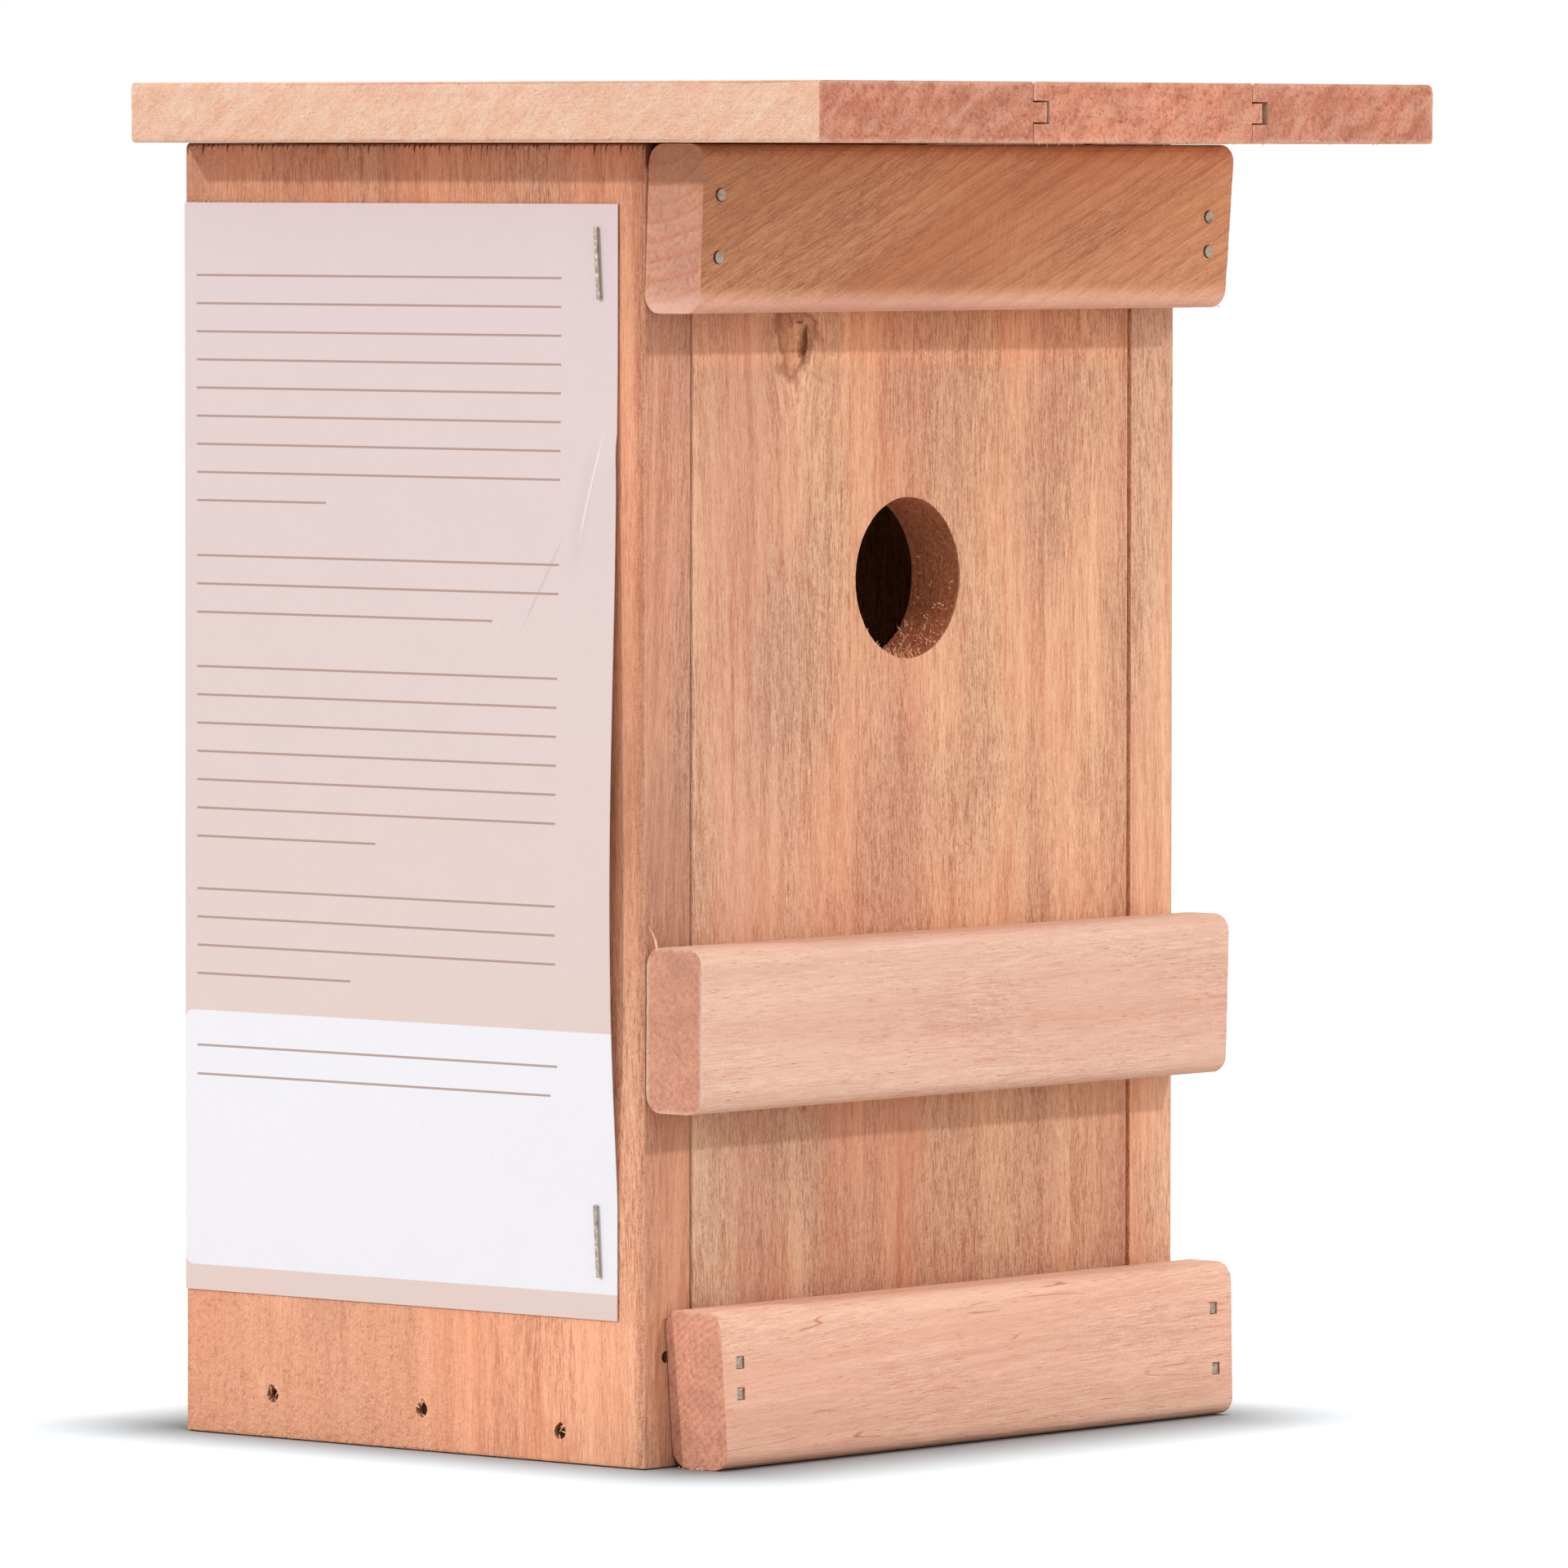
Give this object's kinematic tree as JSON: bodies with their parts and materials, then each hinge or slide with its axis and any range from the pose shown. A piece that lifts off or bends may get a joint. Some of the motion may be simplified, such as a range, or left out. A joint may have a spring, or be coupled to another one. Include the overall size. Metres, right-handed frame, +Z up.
{
  "type": "bird nest box",
  "caption": "Wooden nest box for small birds: round entrance hole, overhanging tongue-and-groove roof, three cross slats and a front panel that lifts out for cleaning.",
  "frame": {"origin": "middle of the outline seen from above, at the height of the surface the box stands on", "axes": "+Z up; the front with the entrance hole faces -Y; +X is the viewer's right seen from the front"},
  "size_m": [0.168, 0.159, 0.2385],
  "materials": {
    "poplar_body": "planed poplar, oiled, orange tan",
    "poplar_front": "planed poplar, oiled, salmon",
    "poplar_roof": "planed poplar, pale",
    "beech": "smooth beech, pale pink",
    "beech_brown": "rough-sawn beech, browner",
    "steel": "bright wire, dulled",
    "leaflet_paper": "uncoated printed paper, matt"
  },
  "bodies": {
    "box": {"left_side_panel": "poplar_body", "right_side_panel": "poplar_body", "back_panel": "poplar_body", "floor_panel": "poplar_body", "roof_board_left": "poplar_roof", "roof_board_middle": "poplar_roof", "roof_board_right": "poplar_roof", "top_slat": "beech_brown", "bottom_slat": "beech", "top_slat_left_pin_1": "steel", "top_slat_left_pin_2": "steel", "top_slat_right_pin_1": "steel", "top_slat_right_pin_2": "steel", "bottom_slat_left_brad_1": "steel", "bottom_slat_left_brad_2": "steel", "bottom_slat_right_brad_1": "steel", "bottom_slat_right_brad_2": "steel", "left_floor_nail_1": "steel", "left_floor_nail_2": "steel", "left_floor_nail_3": "steel", "right_floor_nail_1": "steel", "right_floor_nail_2": "steel", "right_floor_nail_3": "steel", "left_back_nail_1": "steel", "left_back_nail_2": "steel", "left_back_nail_3": "steel", "right_back_nail_1": "steel", "right_back_nail_2": "steel", "right_back_nail_3": "steel", "back_floor_nail_1": "steel", "back_floor_nail_2": "steel", "roof_left_nail_1": "steel", "roof_left_nail_2": "steel", "roof_left_nail_3": "steel", "roof_right_nail_1": "steel", "roof_right_nail_2": "steel", "roof_right_nail_3": "steel", "roof_back_nail_1": "steel", "roof_back_nail_2": "steel", "leaflet": "leaflet_paper", "lower_staple": "steel", "upper_staple": "steel"},
    "front": {"front_panel": "poplar_front", "middle_slat": "beech", "middle_slat_nail_1": "steel", "middle_slat_nail_2": "steel", "middle_slat_nail_3": "steel", "middle_slat_nail_4": "steel"}
  },
  "joints": [
    {"name": "front_lift", "type": "slide", "parent": "box", "child": "front", "axis": [0, 0, 1], "range_m": [0, 0.0164]}
  ]
}
